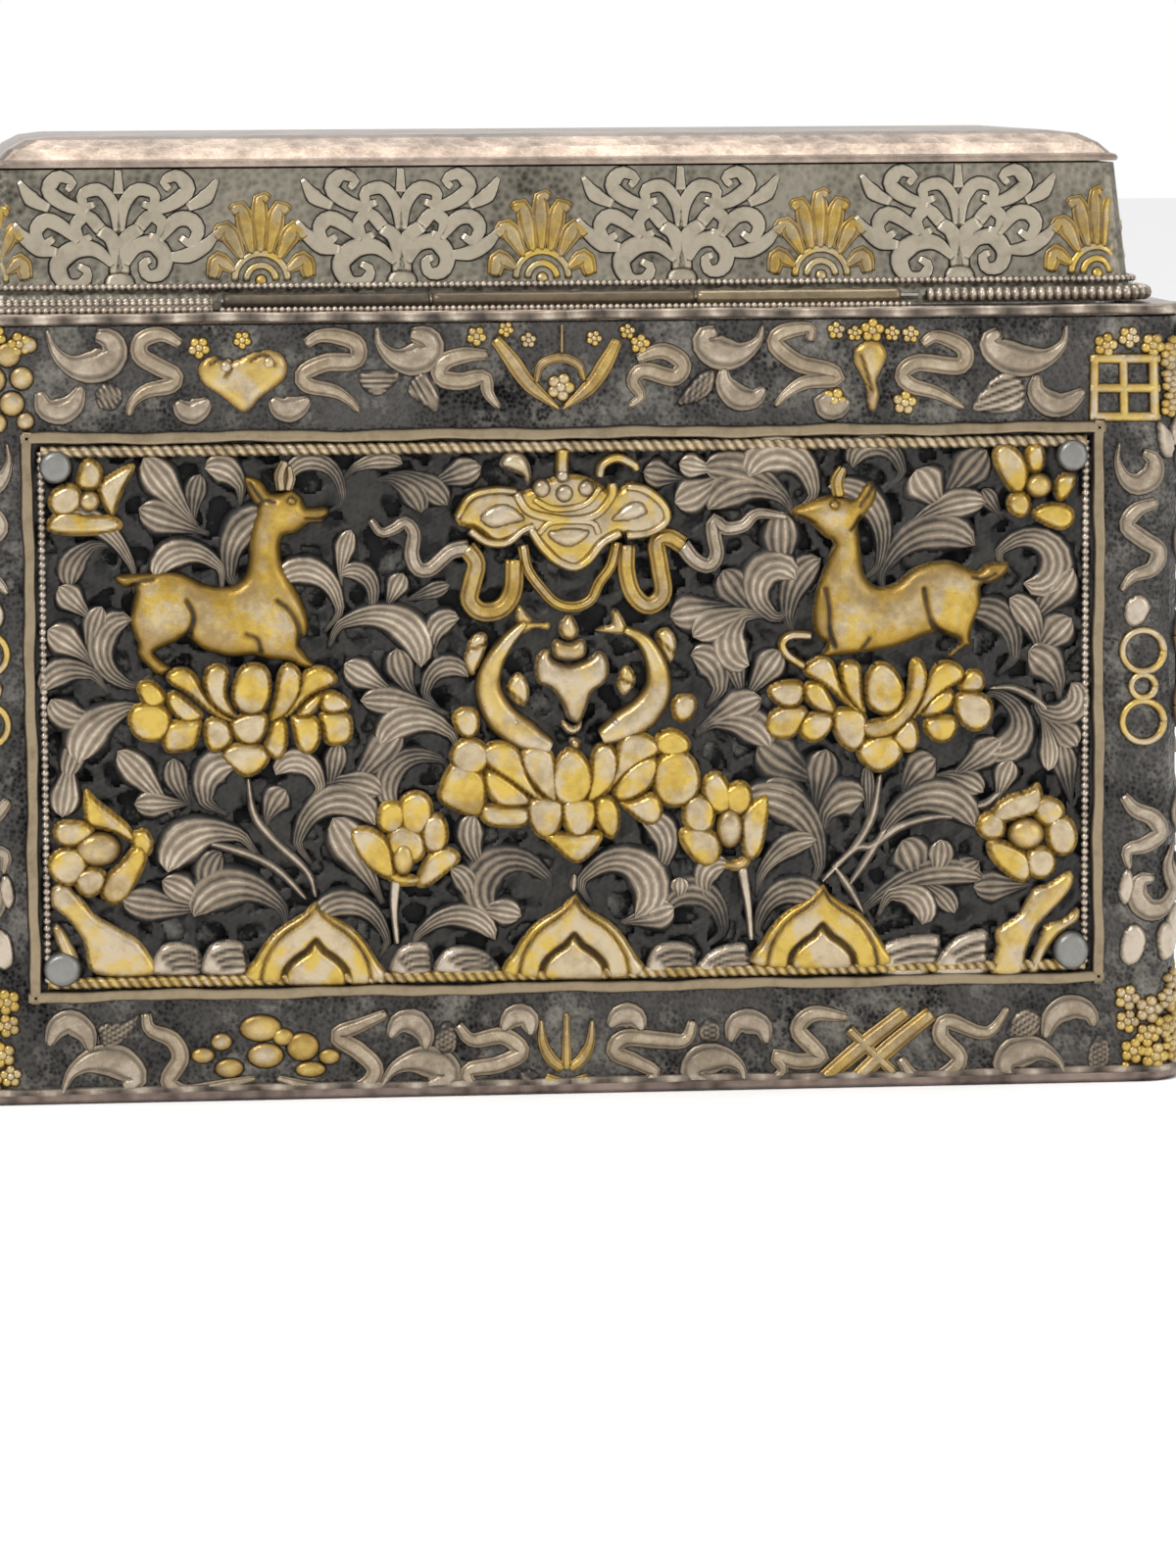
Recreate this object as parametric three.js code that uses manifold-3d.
// A rectangular betel box in silver and parcel gilding, with openwork plaques and a stepped, hinged lid.
// Millimetres, +Z up. The origin is the middle of the underside. The hinge side faces -Y.
import * as THREE from "three";
import { mergeVertices } from "three/addons/utils/BufferGeometryUtils.js";
import Module from "manifold-3d";

const wasm = await Module();
wasm.setup();

// The body.
const bodyLength = 190;
const bodyDepth = 110;
const bodyHeight = 120;
const bodyCorner = 6;
const wallSheet = 1.2;
const linerSheet = 0.7;
const baseSheet = 1.8;
const baseLip = 0.8;
const ledgeSheet = 1.6;
const ledgeLip = 0.6;

// The clearance between two pieces that touch.
const fit = 0.3;

// The openwork plaques and what frames them.
const sideBand = 13.6;
const topBand = 19.1;
const bottomBand = 16.8;
const plaqueSheet = 0.8;
const leafRise = 1.1;
const figureRise = 2;
const frameWidth = 2;
const frameRise = 1.1;
const borderWire = 1.4;
const rivetHead = 5.1;
const rivetRise = 1.1;
const rivetShank = 1.8;

// The lid.
const lidInset = 6;
const lidCorner = 4;
const lidWallHeight = 21.2;
const lidTaper = 3;
const lidFoot = 2.2;
const lidSheet = 1;
const lidTopRise = 4.6;
const bezelDrop = 3.5;
const bezelSheet = 0.9;
const bezelPlay = 0.4;

// The hinge and the wires round the foot of the lid.
const knuckleThick = 2.4;
const hingePin = 1;
const outerKnuckle = 31.4;
const middleKnuckle = 40.2;
const pinEnd = 2.7;
const lidWire = 2.6;
const fineWire = 1.1;

// Heights and places that follow from the sizes above.
const tiny = wallSheet / 1000;
const wallTop = bodyHeight - ledgeSheet - fit;
const wallFoot = baseSheet + fit;
const footHalfX = bodyLength / 2 - lidInset;
const footHalfY = bodyDepth / 2 - lidInset;
const lidBase = bodyHeight + fit;
const hingeZ = lidBase + knuckleThick / 2;
const hingeY = -footHalfY - fit - knuckleThick / 2;
const windowHeight = bodyHeight - topBand - bottomBand;
const plaqueHeight = windowHeight - 2 * fit;
const windowZ = bottomBand + windowHeight / 2;

// Turns a closed geometry into a solid that can be cut and joined.
function solid(geometry) {
  const plain = geometry.index ? geometry.toNonIndexed() : geometry.clone();
  plain.deleteAttribute("normal");
  plain.deleteAttribute("uv");
  const merged = mergeVertices(plain, tiny);
  return new wasm.Manifold(
    new wasm.Mesh({
      numProp: 3,
      vertProperties: merged.attributes.position.array,
      triVerts: new Uint32Array(merged.index.array),
    }),
  );
}

function geometryOf(made) {
  const mesh = made.getMesh();
  const geometry = new THREE.BufferGeometry();
  geometry.setAttribute("position", new THREE.BufferAttribute(new Float32Array(mesh.vertProperties), 3));
  geometry.setIndex(new THREE.BufferAttribute(new Uint32Array(mesh.triVerts), 1));
  geometry.computeVertexNormals();
  return geometry;
}

// A rounded rectangle, as an outline in its own plane.
function roundedOutline({ halfX, halfY, corner }, path = new THREE.Shape()) {
  path.moveTo(halfX, -halfY + corner);
  path.lineTo(halfX, halfY - corner);
  path.absarc(halfX - corner, halfY - corner, corner, 0, Math.PI / 2);
  path.lineTo(-halfX + corner, halfY);
  path.absarc(-halfX + corner, halfY - corner, corner, Math.PI / 2, Math.PI);
  path.lineTo(-halfX, -halfY + corner);
  path.absarc(-halfX + corner, -halfY + corner, corner, Math.PI, 1.5 * Math.PI);
  path.lineTo(halfX - corner, -halfY);
  path.absarc(halfX - corner, -halfY + corner, corner, 1.5 * Math.PI, 2 * Math.PI);
  return path;
}

// An outline brought in by a distance all round.
function inset({ halfX, halfY, corner }, by) {
  return { halfX: halfX - by, halfY: halfY - by, corner: Math.max(corner - by, lidSheet * 2) };
}

// A flat plate or ring of rounded rectangles between two heights.
const cornerSteps = 4;
function plate(outline, from, to, hole) {
  const shape = roundedOutline(outline);
  if (hole) shape.holes.push(roundedOutline(hole, new THREE.Path()));
  const settings = { depth: to - from, bevelEnabled: false, curveSegments: cornerSteps / 2 };
  return new THREE.ExtrudeGeometry(shape, settings).translate(0, 0, from);
}

// The same with its edges eased.
function eased(outline, from, to, edge, hole) {
  const shape = roundedOutline(inset(outline, edge));
  if (hole) shape.holes.push(roundedOutline(inset(hole, -edge), new THREE.Path()));
  const settings = {
    depth: to - from - 2 * edge,
    bevelThickness: edge,
    bevelSize: edge,
    bevelSegments: 1,
    curveSegments: cornerSteps / 2,
  };
  return new THREE.ExtrudeGeometry(shape, settings).translate(0, 0, from + edge);
}

// A square-cornered ring round an opening, with eased edges, lying on its own plane.
function moulding(width, height, wide, rise, edge) {
  const rectangle = (path, by) => {
    path.moveTo(-width / 2 - by, -height / 2 - by);
    path.lineTo(width / 2 + by, -height / 2 - by);
    path.lineTo(width / 2 + by, height / 2 + by);
    path.lineTo(-width / 2 - by, height / 2 + by);
    path.closePath();
    return path;
  };
  const shape = rectangle(new THREE.Shape(), wide - edge);
  shape.holes.push(rectangle(new THREE.Path(), edge));
  const settings = { depth: rise - 2 * edge, bevelThickness: edge, bevelSize: edge, bevelSegments: 1 };
  return new THREE.ExtrudeGeometry(shape, settings).translate(0, 0, edge);
}

// A rounded rectangle as a ring of points at one height.
function ring({ halfX, halfY, corner }, up) {
  const points = [];
  for (let quarter = 0; quarter < 4; quarter += 1) {
    const signX = quarter === 0 || quarter === 3 ? 1 : -1;
    const signY = quarter < 2 ? 1 : -1;
    for (let step = 0; step < cornerSteps; step += 1) {
      const way = (quarter + step / (cornerSteps - 1)) * (Math.PI / 2);
      const x = signX * (halfX - corner) + corner * Math.cos(way);
      const y = signY * (halfY - corner) + corner * Math.sin(way);
      points.push(new THREE.Vector3(x, y, up));
    }
  }
  return points;
}

// Skins rings that all have the same count of points. The last ring meets the first, or both ends are closed.
function skin(rings, closed) {
  const count = rings[0].length;
  const total = rings.length * count;
  const faces = [];
  for (let i = 0; i < rings.length - (closed ? 0 : 1); i += 1) {
    for (let side = 0; side < count; side += 1) {
      const a = i * count + side;
      const b = i * count + ((side + 1) % count);
      const c = (b + count) % total;
      const d = (a + count) % total;
      faces.push(a, b, c, a, c, d);
    }
  }
  for (let side = 1; !closed && side + 1 < count; side += 1) {
    faces.push(0, side + 1, side);
    faces.push(total - count, total - count + side, total - count + side + 1);
  }
  const geometry = new THREE.BufferGeometry().setFromPoints(rings.flat());
  geometry.setIndex(faces);
  geometry.computeVertexNormals();
  return geometry;
}

// A round wire that follows a rounded rectangle.
function round(outline, radius, up, steps) {
  const rings = [];
  for (let step = 0; step < steps; step += 1) {
    const way = ((step + 0.5) * 2 * Math.PI) / steps;
    rings.push(ring(inset(outline, -radius * Math.cos(way)), up + radius * Math.sin(way)));
  }
  return skin(rings, true);
}

// A rod along X, and a tube along X.
function rod(radius, length) {
  return new THREE.CylinderGeometry(radius, radius, length, 8).rotateZ(Math.PI / 2);
}
function tube(radius, bore, length) {
  const shape = new THREE.Shape().absarc(0, 0, radius, 0, 2 * Math.PI);
  shape.holes.push(new THREE.Path().absarc(0, 0, bore, 0, 2 * Math.PI, true));
  const made = new THREE.ExtrudeGeometry(shape, { depth: length, bevelEnabled: false, curveSegments: 6 });
  return made.translate(0, 0, -length / 2).rotateY(Math.PI / 2);
}

// A short round bar along Z between two heights.
function turned(radius, from, to, steps) {
  const made = new THREE.CylinderGeometry(radius, radius, to - from, steps);
  return made.rotateX(Math.PI / 2).translate(0, 0, (from + to) / 2);
}

// The plaques are drawn on a square grid, across to the right and down, as on a sheet of paper.
// One square is this share of a long plaque's width, of an end plaque's width, and of their height.
const longSquareShare = 1 / 1083;
const endSquareShare = 1 / 549;
const tallSquareShare = 1 / 557.5;
const longWindow = bodyLength - 2 * sideBand;
const middleAcrossShare = 577;
const middleDownShare = 730;
const stemWidthShare = 9;
const vineWidthShare = 7;

// A raised form along a line of rows [across, down, width, rise share]: its outline runs up one side of the
// line and down the other, and it stands on the sheet.
function relief(rows, rise, mirrored) {
  const turn = mirrored ? -1 : 1;
  const at = rows.map(([across, down]) => [
    turn * (across - middleAcrossShare),
    middleDownShare - down,
  ]);
  const sides = rows.map(([, , width], i) => {
    const from = at[Math.max(0, i - 1)];
    const to = at[Math.min(at.length - 1, i + 1)];
    const long = Math.hypot(to[0] - from[0], to[1] - from[1]);
    const half = width / 2;
    return [(-(to[1] - from[1]) / long) * half, ((to[0] - from[0]) / long) * half];
  });
  const left = at.map(([x, y], i) => new THREE.Vector2(x + sides[i][0], y + sides[i][1]));
  const right = at.map(([x, y], i) => new THREE.Vector2(x - sides[i][0], y - sides[i][1]));
  const shape = new THREE.Shape([...left, ...right.reverse()]);
  const share = Math.max(...rows.map(([, , , riseShare = 1]) => riseShare));
  return standing(shape, rise * share);
}

// An outline that stands from the back of the sheet to its own height above it.
function standing(shape, rise) {
  const settings = { depth: plaqueSheet + rise, bevelEnabled: false, curveSegments: 3 };
  return new THREE.ExtrudeGeometry(shape, settings).translate(0, 0, -plaqueSheet);
}

// A leaf that grows from a slender root, swells, and curls over at its tip.
// Row: across, down, heading in degrees from the right, length, width, curl in degrees to the left.
const leafRootShare = 0.2;
const leafGapShare = 0.84;
function leafRows([across, down, heading, length, width, curl]) {
  const steps = Math.abs(curl) > 150 ? 3 : 2;
  let x = across;
  let y = down;
  const rows = [];
  for (let i = 0; i <= steps; i += 1) {
    const swell = leafRootShare + (1 - leafRootShare) * Math.sin(Math.PI * (i / steps) ** 1.3);
    rows.push([x, y, width * swell * leafGapShare, 0.5 + swell / 2]);
    const way = THREE.MathUtils.degToRad(heading + curl * ((i + 0.5) / steps) ** 1.3);
    x += (Math.cos(way) * length * leafGapShare) / steps;
    y -= (Math.sin(way) * length * leafGapShare) / steps;
  }
  return rows;
}

// Leaves of the left half of a long plaque. The right half mirrors them.
const longLeafShares = [
  [186, 518, 128, 60, 30, 0],
  [194, 538, 160, 52, 30, 0],
  [226, 582, 128, 82, 24, 150],
  [197, 524, 88, 38, 20, -20],
  [246, 498, 112, 44, 26, 100],
  [236, 592, 102, 88, 30, -120],
  [136, 582, 112, 98, 20, 78],
  [96, 556, 205, 50, 24, 90],
  [86, 624, 136, 34, 24, 0],
  [92, 660, 82, 40, 22, -20],
  [84, 667, 138, 40, 28, 20],
  [138, 700, 166, 100, 26, -190],
  [98, 690, 152, 62, 24, 110],
  [98, 732, 190, 50, 26, -80],
  [132, 722, 195, 76, 34, 80],
  [90, 740, 240, 54, 22, 20],
  [70, 786, 262, 44, 26, 0],
  [163, 814, 128, 60, 26, 10],
  [190, 816, 122, 42, 22, -40],
  [212, 820, 112, 60, 30, -150],
  [180, 820, 180, 40, 24, 0],
  [248, 854, 158, 92, 34, 118],
  [206, 922, 142, 44, 26, 20],
  [217, 918, 112, 50, 26, -80],
  [190, 926, 176, 62, 30, -10],
  [289, 928, 132, 104, 36, 132],
  [274, 832, 70, 30, 26, -30],
  [326, 806, 92, 64, 22, 175],
  [368, 792, 50, 58, 30, 0],
  [338, 800, 80, 40, 20, 0],
  [344, 798, 2, 44, 26, -40],
  [304, 862, 82, 108, 30, -172],
  [464, 753, 132, 88, 28, 135],
  [438, 722, 166, 66, 26, 20],
  [455, 778, 152, 98, 24, 185],
  [380, 900, 118, 72, 34, 10],
  [395, 962, 102, 100, 24, 165],
  [488, 878, 120, 46, 24, -60],
  [480, 926, 82, 46, 22, 90],
  [562, 902, 122, 124, 34, 235],
  [424, 958, 52, 92, 22, -132],
  [491, 928, 0, 38, 24, -20],
  [348, 514, 82, 92, 18, 200],
  [361, 478, 30, 48, 18, -60],
  [450, 490, 20, 40, 26, 0],
  [398, 489, -15, 46, 24, -80],
  [415, 485, -20, 48, 24, -40],
  [348, 582, 85, 40, 18, -20],
  [346, 626, 92, 92, 24, 165],
  [379, 618, 72, 58, 18, 165],
  [398, 612, 65, 28, 20, 0],
  [424, 609, 20, 34, 16, 0],
  [344, 640, 32, 112, 30, -145],
  [441, 664, 100, 48, 22, -125],
  [390, 700, 150, 42, 26, 0],
  [418, 702, 120, 40, 26, -30],
  [435, 710, 92, 62, 20, -172],
];

// Round stems of the left half that stand clear of the ground: [across, down] points.
const longStemShares = [
  [[256, 786], [262, 830], [284, 862], [312, 890], [322, 918]],
  [[160, 860], [210, 860], [262, 876], [300, 905], [318, 924]],
  [[405, 990], [402, 930], [410, 890]],
];

// Flat vines of the left half that tie the leaves together at the level of the ground.
const longVineShares = [
  [[163, 462], [190, 538], [228, 590]],
  [[243, 462], [240, 560]],
  [[44, 520], [93, 512]],
  [[44, 560], [92, 556], [130, 590]],
  [[44, 600], [94, 686], [150, 716]],
  [[44, 746], [95, 736], [150, 724]],
  [[40, 868], [60, 868]],
  [[127, 918], [196, 940]],
  [[60, 800], [98, 736]],
  [[104, 740], [146, 812], [262, 838]],
  [[182, 898], [206, 920], [196, 970]],
  [[160, 925], [172, 976]],
  [[206, 920], [310, 924]],
  [[340, 736], [372, 790], [318, 912]],
  [[372, 790], [430, 770], [470, 790]],
  [[396, 700], [436, 720], [470, 780]],
  [[346, 636], [392, 702]],
  [[404, 462], [360, 506], [346, 560], [346, 640]],
  [[300, 640], [346, 636]],
  [[310, 486], [362, 500]],
  [[560, 896], [580, 922]],
  [[424, 940], [430, 990]],
  [[470, 924], [484, 990]],
];

// The vines among the emblems in the middle.
const emblemVineShares = [
  [[552, 506], [556, 528]],
  [[434, 580], [444, 664], [436, 716]],
  [[444, 664], [484, 694]],
  [[440, 462], [474, 524]],
  [[500, 722], [500, 770]],
  [[552, 750], [560, 790]],
  [[526, 618], [530, 650]],
  [[554, 600], [577, 636]],
];

// The middle of the side away from the hinge: a flower on a stem, with two leaves and their vines each side.
const backFlowerShares = [577, 590, 34, 84, 7];
const backStemShares = [[577, 480], [577, 640], [577, 780]];
const backLeafShares = [
  [572, 720, 150, 120, 38, 100],
  [240, 690, 128, 150, 44, 100],
  [244, 690, 60, 130, 40, -100],
  [240, 580, 140, 110, 36, 100],
  [236, 560, 50, 110, 36, -100],
];
const backVineShares = [
  [[243, 462], [236, 560], [244, 700]],
  [[44, 746], [95, 736], [160, 724]],
  [[330, 736], [400, 760], [470, 790]],
  [[250, 770], [262, 838]],
  [[417, 870], [404, 925], [420, 1000]],
  [[40, 868], [60, 868]],
  [[440, 462], [448, 560], [540, 590]],
];

// The drawing of an end plaque, on the same grid and about the same middle.
const endLotusShares = [577, 782, 240, 140];
const endFlowerShares = [577, 560, 26, 62, 6];
const endStemShares = [[[577, 462], [577, 740]], [[577, 850], [577, 920]]];
const endLeafShares = [
  [500, 764, 128, 130, 40, 110],
  [572, 650, 150, 130, 38, 100],
  [520, 552, 150, 100, 34, 100],
  [574, 880, 150, 140, 40, -100],
];
const endVineShares = [
  [[304, 756], [400, 744], [480, 780]],
  [[440, 462], [470, 530], [540, 560]],
  [[304, 930], [420, 910], [480, 820]],
];

// The couched deer on the left, facing the middle: its outline, then the haunch and shoulder.
const deerShares = [
  [115, 586], [138, 581], [160, 579], [184, 584], [210, 593], [238, 598], [260, 590], [267, 568], [261, 540],
  [262, 524], [254, 508], [248, 484], [262, 492], [275, 504], [286, 503], [284, 474], [290, 474], [294, 502],
  [302, 474], [307, 476], [302, 506], [318, 514], [333, 518], [334, 527], [312, 535], [293, 545], [289, 560],
  [298, 584], [311, 606], [317, 632], [313, 656], [324, 676], [336, 690], [318, 692], [288, 678], [250, 671],
  [212, 656], [192, 644], [176, 660], [160, 664], [180, 684], [162, 683], [143, 665], [135, 640], [135, 612],
  [146, 597], [120, 598],
];
const deerDomeShares = [
  [[140, 626, 30], [156, 624, 62], [178, 620, 54], [194, 618, 24]],
  [[282, 616, 20], [288, 632, 42], [294, 652, 34], [302, 666, 14]],
];

// A lotus: [across, down, width, height] of the whole flower.
const deerLotusShares = [250, 724, 226, 130];
const middleLotusShares = [577, 812, 250, 140];

// The parasol, its scarves and garland, the conch and the pair of fish.
const canopyShares = [
  [[577, 460, 8, 0.5], [577, 476, 16, 0.8], [577, 492, 14, 0.8], [577, 524, 22, 0.9]],
  [[577, 528, 26, 1], [577, 544, 54, 1], [577, 562, 14, 0.8]],
];
const halfCanopyShares = [
  [[546, 492, 10, 0.7], [552, 500, 18, 0.8], [558, 508, 10, 0.7]],
  [[512, 470, 16, 0.7], [524, 470, 24, 0.8], [536, 480, 10, 0.6], [540, 492, 8, 0.6]],
  [[484, 524, 16, 0.7], [504, 525, 34, 1], [534, 532, 18, 0.7]],
  [[580, 526, 20, 1.1], [552, 522, 18, 1.1], [530, 506, 14, 1.1], [528, 496, 8, 0.8]],
  [[530, 506, 14, 0.9], [500, 502, 14, 0.9], [472, 518, 14, 0.9], [474, 536, 16, 0.9]],
  [[474, 536, 16, 0.9], [504, 552, 16, 0.9], [540, 544, 16, 0.9], [556, 566, 18, 0.9], [580, 580, 20, 0.9]],
  [[536, 562, 12, 0.7], [546, 590, 13, 0.8], [562, 612, 14, 0.8], [582, 617, 14, 0.8]],
  [[379, 531, 12, 0.7], [390, 547, 15, 0.8], [410, 536, 15, 0.8], [422, 560, 18, 0.8], [434, 582, 20, 0.8]],
  [[434, 582, 20, 0.8], [456, 568, 17, 0.8], [474, 558, 15, 0.8], [484, 578, 16, 0.9], [484, 608, 18, 0.9]],
  [[484, 602, 18, 0.9], [498, 620, 18, 0.9], [516, 612, 16, 0.9], [523, 590, 14, 0.8], [523, 566, 12, 0.7]],
];
const conchShares = [
  [[577, 632, 8, 0.5], [577, 646, 24, 0.8], [577, 660, 40, 1], [577, 676, 72, 1.1], [577, 692, 66, 1.1]],
  [[577, 692, 66, 1.1], [579, 708, 34, 1], [582, 728, 16, 0.8], [583, 742, 22, 0.8], [585, 762, 10, 0.6]],
];
const fishShares = [
  [[530, 640, 15, 0.7], [510, 662, 22, 0.9], [500, 690, 28, 1], [504, 718, 34, 1.1], [562, 758, 24, 0.7]],
  [[533, 650, 14, 0.7], [527, 634, 12, 0.6], [532, 622, 5, 0.4]],
  [[538, 646, 12, 0.7], [550, 636, 12, 0.6], [560, 640, 5, 0.4]],
  [[484, 696, 14, 0.6], [478, 668, 24, 0.7], [488, 645, 6, 0.4]],
  [[527, 718, 14, 0.6], [529, 700, 24, 0.7], [527, 684, 6, 0.4]],
  [[466, 738, 12, 0.5], [480, 750, 26, 0.8], [516, 756, 14, 0.6]],
];

// Gilt flowers: [across, down, centre's radius, whole radius, petals].
const flowerShares = [
  [93, 512, 15, 36, 5],
  [99, 867, 24, 46, 5],
  [416, 866, 18, 44, 5],
];

// The base of the plaque: arches, corner rocks and a row of wave leaves.
const archHalfShare = 66;
const sideArchShare = 322;
const archTopShare = 915;
const archFootShare = 1003;
const waveLeafShares = [
  [[150, 968, 12, 0.6], [172, 980, 30, 0.8], [204, 998, 12, 0.5]],
  [[196, 968, 12, 0.6], [220, 982, 30, 0.8], [250, 998, 12, 0.5]],
  [[396, 968, 14, 0.6], [420, 982, 30, 0.8], [452, 998, 12, 0.5]],
  [[458, 970, 14, 0.6], [482, 982, 28, 0.8], [504, 998, 12, 0.5]],
  [[54, 912, 14, 0.7], [88, 936, 30, 0.9], [118, 966, 36, 0.9], [140, 1000, 30, 0.7]],
  [[62, 952, 10, 0.6], [84, 966, 18, 0.8], [104, 998, 20, 0.7]],
];

// An ogee arch with a smaller one inside it.
function arch(across, mirrored) {
  const x = (mirrored ? -1 : 1) * (across - middleAcrossShare);
  const foot = middleDownShare - archFootShare;
  const half = archHalfShare;
  const tall = archFootShare - archTopShare;
  const outline = (path, share) => {
    path.moveTo(x - half * share, foot);
    path.quadraticCurveTo(x - half * share * 0.75, foot + tall * share * 0.75, x, foot + tall * share);
    path.quadraticCurveTo(x + half * share * 0.75, foot + tall * share * 0.75, x + half * share, foot);
    return path;
  };
  const band = outline(new THREE.Shape(), 1);
  band.lineTo(x + half * 0.62, foot);
  band.quadraticCurveTo(x + half * 0.46, foot + tall * 0.5, x, foot + tall * 0.66);
  band.quadraticCurveTo(x - half * 0.46, foot + tall * 0.5, x - half * 0.62, foot);
  const inner = outline(new THREE.Shape(), 0.46);
  return [standing(band, leafRise), standing(inner, leafRise)];
}

// An outline drawn through points on the grid, standing on the sheet.
function drawn(points, rise, mirrored) {
  const turn = mirrored ? -1 : 1;
  const shape = new THREE.Shape(
    points.map(
      ([across, down]) => new THREE.Vector2(turn * (across - middleAcrossShare), middleDownShare - down),
    ),
  );
  return standing(shape, rise);
}

// Scalloped petals about a middle, between two angles in degrees: [across, down] points.
const wholeTurnShares = [90, 450];
const skirtTurnShares = [172, 368];
function scallops([across, down], wide, tall, [from, to], petals) {
  const points = [];
  const share = [0.72, 0.98, 0.98];
  for (let i = 0; i <= 3 * petals; i += 1) {
    const way = THREE.MathUtils.degToRad(from + ((to - from) * i) / (3 * petals));
    const far = share[i % 3];
    points.push([across + Math.cos(way) * wide * far, down - Math.sin(way) * tall * far]);
  }
  return points;
}

// A flower head: round petals and a higher centre.
function flower([across, down, centre, reach, petals], mirrored) {
  const ring = scallops([across, down], reach, reach * 0.9, wholeTurnShares, petals).slice(0, -1);
  const eye = scallops([across, down], centre, centre * 0.9, wholeTurnShares, 2).slice(0, -1);
  return [drawn(ring, leafRise, mirrored), drawn(eye, figureRise, mirrored)];
}

// A lotus: a scalloped skirt, upswept petals each side, and the bud between them.
function lotus([across, down, width, height], mirrored) {
  const row = (x, y, wide) => [across + x * width, down - y * height, wide * width];
  const petals = [
    [row(0.08, -0.02, 0.06), row(0.17, 0.16, 0.12), row(0.17, 0.32, 0.06)],
    [row(0.1, -0.06, 0.05), row(0.26, 0.12, 0.1), row(0.42, 0.2, 0.05)],
  ];
  const both = (rows) => [rows, rows.map(([x, y, wide]) => [2 * across - x, y, wide])];
  const bud = [row(0, -0.06, 0.06), row(0, 0.06, 0.14), row(0, 0.22, 0.14), row(0, 0.34, 0.06)];
  const lower = [row(0, -0.1, 0.16), row(0, -0.28, 0.17), row(0, -0.46, 0.03)];
  return [
    drawn(scallops([across, down], width / 2, height / 2, skirtTurnShares, 5), leafRise, mirrored),
    ...petals.flatMap(both).map((rows) => relief(rows, figureRise, mirrored)),
    relief(bud, figureRise * 1.1, mirrored),
    relief(lower, figureRise * 0.9, mirrored),
  ];
}

function stem(points, width, rise, mirrored) {
  return relief(points.map(([across, down]) => [across, down, width]), rise, mirrored);
}

// The forms of a long plaque. The hinge side has the parasol, the conch and the pair of fish in the middle;
// the other side has a large flower there and only the bigger leaves.
const leastLeafShare = 2800;
function longForms(emblems) {
  const forms = [];
  const leaves = longLeafShares.filter(([, , , length, width]) => length * width > leastLeafShare);
  for (const mirrored of [false, true]) {
    longStemShares.forEach((points) => forms.push(stem(points, stemWidthShare, leafRise * 0.6, mirrored)));
    forms.push(...lotus(deerLotusShares, mirrored));
    flowerShares.slice(emblems ? 0 : 1).forEach((row) => forms.push(...flower(row, mirrored)));
    if (emblems) {
      forms.push(drawn(deerShares, figureRise, mirrored));
      deerDomeShares.forEach((rows) => forms.push(relief(rows, figureRise * 1.3, mirrored)));
      waveLeafShares.forEach((rows) => forms.push(relief(rows, leafRise, mirrored)));
      leaves.forEach((row) => forms.push(relief(leafRows(row), leafRise, mirrored)));
      const vines = longVineShares.concat(emblemVineShares);
      vines.forEach((points) => forms.push(stem(points, vineWidthShare, 0, mirrored)));
      halfCanopyShares.forEach((rows) => forms.push(relief(rows, figureRise * 0.8, mirrored)));
      fishShares.forEach((rows) => forms.push(relief(rows, figureRise, mirrored)));
    } else {
      forms.push(...backLeafShares.map((row) => relief(leafRows(row), leafRise, mirrored)));
      forms.push(...backVineShares.map((points) => stem(points, vineWidthShare, 0, mirrored)));
    }
  }
  forms.push(...lotus(middleLotusShares, false));
  forms.push(...arch(middleAcrossShare, false));
  forms.push(...arch(sideArchShare, false), ...arch(sideArchShare, true));
  if (emblems) {
    for (const rows of canopyShares.concat(conchShares)) forms.push(relief(rows, figureRise, false));
  } else {
    forms.push(...flower(backFlowerShares, false));
    forms.push(stem(backStemShares, stemWidthShare, leafRise, false));
  }
  return forms;
}

// The forms of an end plaque: a flower on a stem over a lotus, an arch below, and leaves about them.
function endForms() {
  const forms = [
    ...lotus(endLotusShares, false),
    ...flower(endFlowerShares, false),
    ...arch(middleAcrossShare, false),
    ...endStemShares.map((points) => stem(points, stemWidthShare, leafRise * 0.6, false)),
  ];
  for (const mirrored of [false, true]) {
    endLeafShares.forEach((row) => forms.push(relief(leafRows(row), leafRise, mirrored)));
    endVineShares.forEach((points) => forms.push(stem(points, vineWidthShare, 0, mirrored)));
  }
  return forms;
}

// A plaque: a narrow rim, and the raised forms cut to the field inside it.
// It lies in its own plane, with the front of its sheet at zero.
function plaque(width, height, squareShare, forms) {
  const rim = 3 * fit + borderWire;
  const ground = moulding(width - 2 * rim, height - 2 * rim, rim, plaqueSheet, 0);
  ground.translate(0, 0, -plaqueSheet);
  const field = new THREE.BoxGeometry(width - 2 * rim + fit, height - 2 * rim + fit, 6 * figureRise);
  for (const form of forms) form.scale(width * squareShare, height * tallSquareShare, 1);
  const joined = forms.reduce((made, form) => made.add(solid(form)), solid(forms[0]));
  const places = rivetPlaces(width, height);
  let made = joined.intersect(solid(field)).add(solid(ground));
  for (const [x, y] of places) {
    const boss = turned(rivetHead / 2, -plaqueSheet, 0, 8);
    made = made.add(solid(boss.translate(x, y, 0)));
  }
  for (const [x, y] of places) {
    const hole = turned(rivetShank / 2 + fit, -2 * plaqueSheet, 2 * figureRise, 6);
    made = made.subtract(solid(hole.translate(x, y, 0)));
  }
  return made;
}

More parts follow.
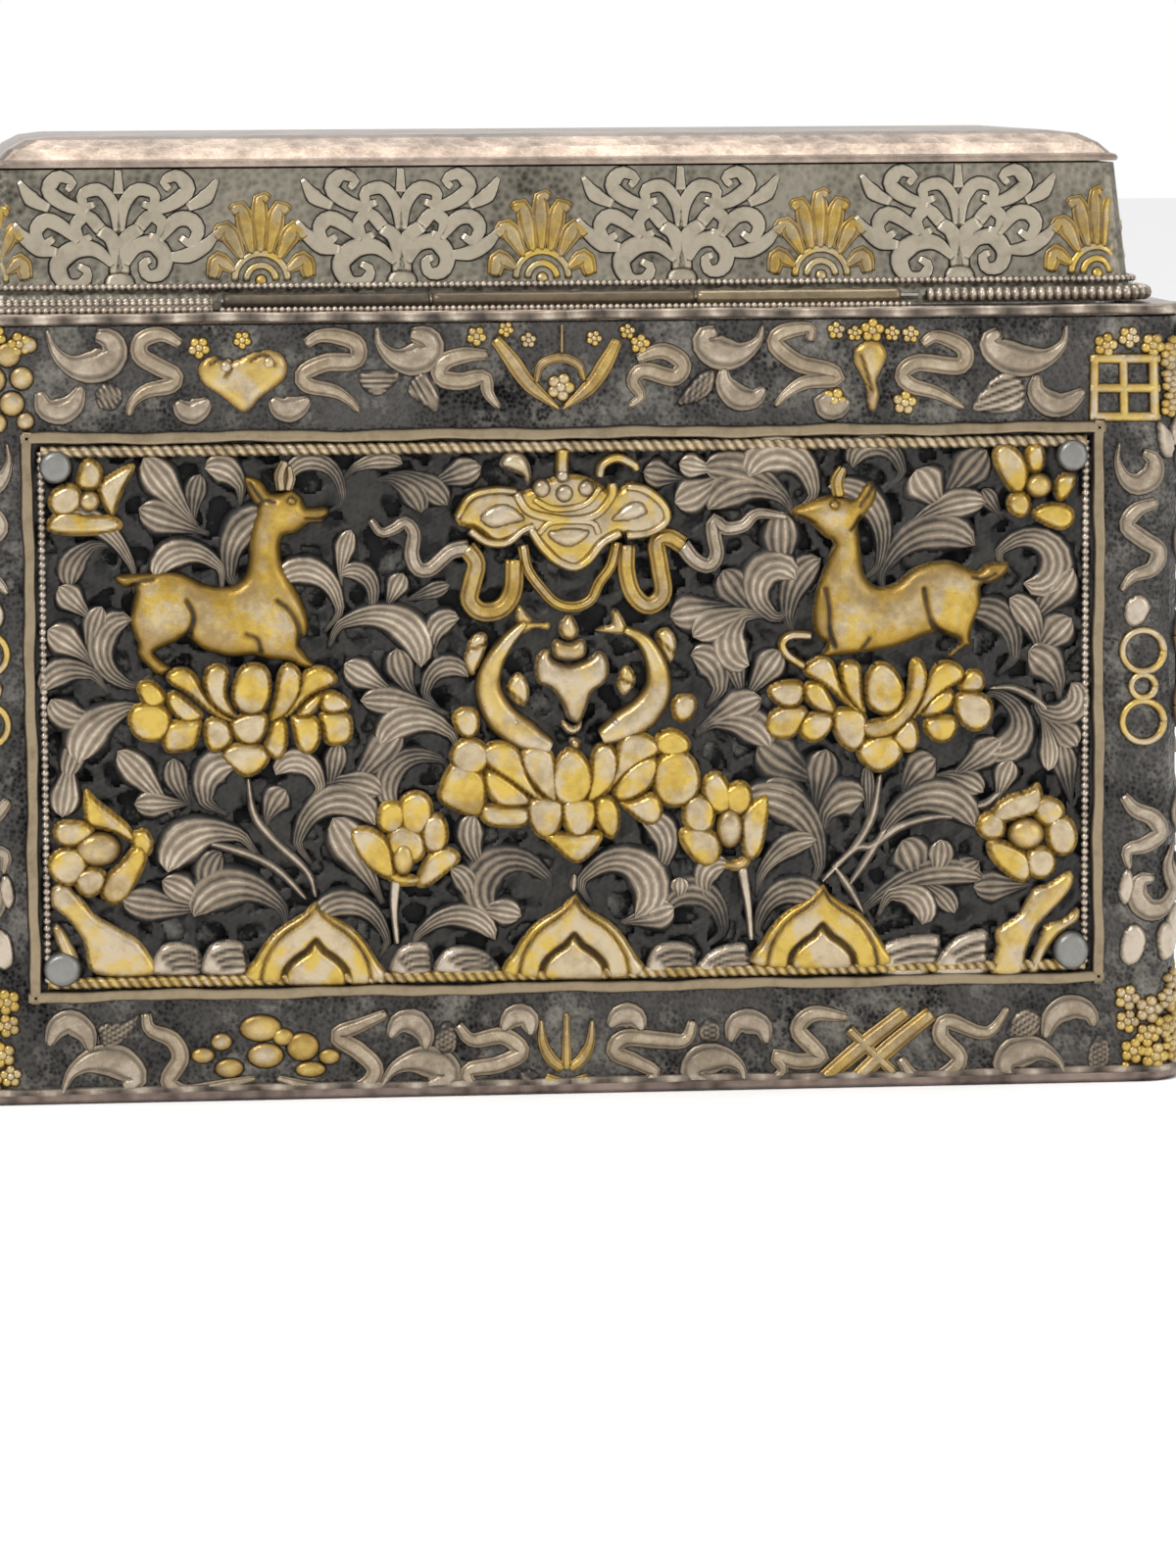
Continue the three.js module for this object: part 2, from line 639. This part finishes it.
// The four corners of a plaque where rivets hold it.
function rivetPlaces(width, height) {
  const inset = 2 * fit + borderWire + rivetShank / 2 + 2 * fit;
  const x = width / 2 - inset;
  const y = height / 2 - inset;
  return [
    [-x, y, "top_left"],
    [x, y, "top_right"],
    [-x, -y, "bottom_left"],
    [x, -y, "bottom_right"],
  ];
}

// A rivet, with its head over the border wire and its shank through the plaque. The outer face of the wall is
// at zero.
function rivet() {
  const seat = fit + plaqueSheet - wallSheet + rivetSeat;
  const profile = [
    [0, -wallSheet],
    [rivetShank / 2, -wallSheet],
    [rivetShank / 2, seat],
    [rivetHead / 2, seat],
    [rivetHead / 4, seat + rivetRise],
    [0, seat + rivetRise],
  ];
  const line = profile.map(([out, up]) => new THREE.Vector2(out, up));
  return new THREE.LatheGeometry(line, 6).rotateX(Math.PI / 2);
}

// The pieces, each in its own material.
const box = new THREE.Group();
const body = new THREE.Group();
const lid = new THREE.Group();
box.add(body, lid);

const silver = { color: 0x8d8378, roughness: 0.42, metalness: 1 };
const brightSilver = { color: 0xb9b7b2, roughness: 0.3, metalness: 1 };
const greySilver = { color: 0x9a9ea6, roughness: 0.4, metalness: 1 };
const parcelGilt = { color: 0xa3916a, roughness: 0.4, metalness: 1 };
const darkSilver = { color: 0x6d655c, roughness: 0.5, metalness: 1 };

function piece(name, geometry, look, parent) {
  const mesh = new THREE.Mesh(geometry, new THREE.MeshStandardMaterial(look));
  mesh.name = name;
  parent.add(mesh);
  return mesh;
}

// The four sides: their turn about Z, the half of the body behind them, and the width of their window.
const endWindow = bodyDepth - 2 * sideBand;
const long = { out: bodyDepth / 2, window: longWindow, share: longSquareShare };
const end = { out: bodyLength / 2, window: endWindow, share: endSquareShare };
const sides = [
  { ...long, name: "hinge_side", turn: 0, forms: longForms(true) },
  { ...end, name: "right_end", turn: 1, forms: endForms() },
  { ...long, name: "far_side", turn: 2, forms: longForms(false) },
  { ...end, name: "left_end", turn: 3, forms: endForms() },
];

// A group whose own +Z is a side's outward direction, with its origin on the side's outer face.
function sideGroup({ turn, out }, parent) {
  const upright = new THREE.Group();
  upright.rotation.x = Math.PI / 2;
  upright.position.set(0, -out, windowZ);
  const turned = new THREE.Group();
  turned.rotation.z = (turn * Math.PI) / 2;
  turned.add(upright);
  parent.add(turned);
  turned.updateMatrixWorld(true);
  return upright;
}

// Cuts a solid with tools given in a side's own group.
function cutSide(made, side, tools) {
  const place = sideGroup(side, new THREE.Group());
  const placed = tools.map((tool) => solid(tool.clone().applyMatrix4(place.matrixWorld)));
  return placed.reduce((left, tool) => left.subtract(tool), made);
}

// The body's wall with its four windows, and the liner behind it.
const wallHalf = { halfX: bodyLength / 2, halfY: bodyDepth / 2, corner: bodyCorner };
const wallInside = inset(wallHalf, wallSheet);
const linerOutside = inset(wallHalf, wallSheet + fit);
const linerInside = inset(linerOutside, linerSheet);
let wall = solid(plate(wallHalf, wallFoot, wallTop, wallInside));
const lining = solid(plate(linerOutside, wallFoot, wallTop)).subtract(
  solid(plate(linerInside, wallFoot + linerSheet, wallTop + fit)),
);
const rivetSeat = borderWire + fit;
for (const side of sides) {
  const width = side.window - 2 * fit;
  wall = cutSide(wall, side, [new THREE.BoxGeometry(side.window, windowHeight, 4 * wallSheet)]);
  const place = sideGroup(side, body);
  const panel = piece(
    `${side.name}_plaque`,
    geometryOf(plaque(width, plaqueHeight, side.share, side.forms)),
    parcelGilt,
    place,
  );
  panel.position.z = -wallSheet + plaqueSheet;
  const frame = moulding(width - 2 * fit, plaqueHeight - 2 * fit, frameWidth, frameRise, frameRise / 4);
  piece(`${side.name}_frame`, frame, silver, place).position.z = fit;
  const wireOuter = width - 4 * fit - 2 * borderWire;
  const wireTall = plaqueHeight - 4 * fit - 2 * borderWire;
  const wire = moulding(wireOuter, wireTall, borderWire, borderWire, borderWire / 4);
  piece(`${side.name}_border_wire`, wire, silver, place).position.z = fit + plaqueSheet - wallSheet;
  for (const [x, y, corner] of rivetPlaces(width, plaqueHeight)) {
    piece(`${side.name}_rivet_${corner}`, rivet(), greySilver, place).position.set(x, y, 0);
  }
}
piece("body_wall", geometryOf(wall), silver, body);
piece("inner_liner", geometryOf(lining), brightSilver, body);

// The base plate stands proud all round, with an eased edge.
piece("base_plate", eased(inset(wallHalf, -baseLip), 0, baseSheet, baseSheet / 4), darkSilver, body);

// The mouth: a flat ledge that carries the lid and the hinge.
const mouthEdge = ledgeSheet / 4;
const mouth = { halfX: footHalfX - lidFoot, halfY: footHalfY - lidFoot, corner: lidCorner };
const ledge = eased(inset(wallHalf, -ledgeLip), bodyHeight - ledgeSheet, bodyHeight, mouthEdge, mouth);
piece("mouth_rim", ledge, silver, body);

// The hinge lies on the ledge. Its outer knuckles are soldered to the body, the middle one to the lid.
const span = middleKnuckle / 2 + fit;
const knuckle = (length, middle) =>
  tube(knuckleThick / 2, hingePin / 2 + fit, length).translate(middle, hingeY, hingeZ);
for (const [name, way] of [["left", -1], ["right", 1]]) {
  const middle = way * (span + outerKnuckle / 2);
  const foot = new THREE.BoxGeometry(outerKnuckle, knuckleThick * 0.8, knuckleThick / 4);
  foot.translate(middle, hingeY, lidBase + knuckleThick / 8);
  const joined = solid(knuckle(outerKnuckle, middle)).add(solid(foot)).subtract(
    solid(rod(hingePin / 2 + fit, outerKnuckle * 2).translate(middle, hingeY, hingeZ)),
  );
  piece(`hinge_knuckle_${name}`, geometryOf(joined), silver, body);
}
const pinLength = 2 * (span + outerKnuckle) + pinEnd + fit;
const pin = piece("hinge_pin", rod(hingePin / 2, pinLength), greySilver, body);
pin.position.set((pinEnd - fit) / 2, hingeY, hingeZ);
piece("lid_knuckle", knuckle(middleKnuckle, 0), silver, lid);

// The lid's wall flares at its foot and tapers upwards. Rows: inset share of the taper, share of the height.
const foot = { halfX: footHalfX, halfY: footHalfY, corner: lidCorner };
const flareShares = [[0, 0], [0.03, 0.057], [0.23, 0.127], [0.4, 0.222], [1, 1]];
const outside = flareShares.map(([inward, up]) => {
  return ring(inset(foot, lidTaper * inward), lidBase + lidWallHeight * up);
});
const lidInside = [
  ring(inset(foot, lidTaper + lidSheet), lidBase + lidWallHeight),
  ring(inset(foot, lidFoot), lidBase + lidWallHeight * 0.222),
  ring(inset(foot, lidFoot), lidBase),
];
piece("lid_wall", skin([...outside, ...lidInside], true), silver, lid);

// The lid's top: a rolled edge, a hollow shoulder and a flat panel.
// Rows: share of the shoulder, share of the rise.
const shoulder = lidTaper * 3;
const topShares = [
  [1, 0.78], [0.62, 0.66], [0.32, 0.34], [0.24, 0], [0.02, 0], [0, 0.1],
  [0.03, 0.2], [0.12, 0.26], [0.3, 0.6], [0.6, 0.9], [1, 1],
];
const topBase = lidBase + lidWallHeight + fit;
const lidEdge = lidTaper * 0.8;
const topRings = topShares.map(([inward, up]) =>
  ring(inset(foot, lidEdge + shoulder * inward), topBase + lidTopRise * up),
);
piece("lid_top", skin(topRings, false), silver, lid);

// The bezel enters the mouth with a little play.
const bezel = inset(mouth, bezelPlay);
const bezelTop = lidBase + lidWallHeight * 0.2;
const bezelWall = plate(bezel, bodyHeight - bezelDrop, bezelTop, inset(bezel, bezelSheet));
piece("lid_bezel", bezelWall, brightSilver, lid);

// The large wire round the foot of the lid stops short of the hinge.
// The fine row above it runs all round.
const wireLine = inset(foot, -(fit + lidWire / 2));
const gapLength = footHalfX + span + outerKnuckle + pinEnd + fit;
const wireGap = new THREE.BoxGeometry(gapLength, lidWire * 2, lidWire * 2);
wireGap.translate((span + outerKnuckle + pinEnd + fit - footHalfX) / 2 + fit, hingeY, hingeZ);
const wireUp = lidBase + lidWire / 2;
const largeWire = solid(round(wireLine, lidWire / 2, wireUp, 8)).subtract(solid(wireGap));
piece("lid_bead_wire", geometryOf(largeWire), silver, lid);
const fineUp = lidWire + fit + fineWire / 2;
const fineLine = inset(foot, lidTaper * 0.28 - fit - fineWire / 2);
piece("lid_fine_wire", round(fineLine, fineWire / 2, lidBase + fineUp, 6), silver, lid);

export default box;
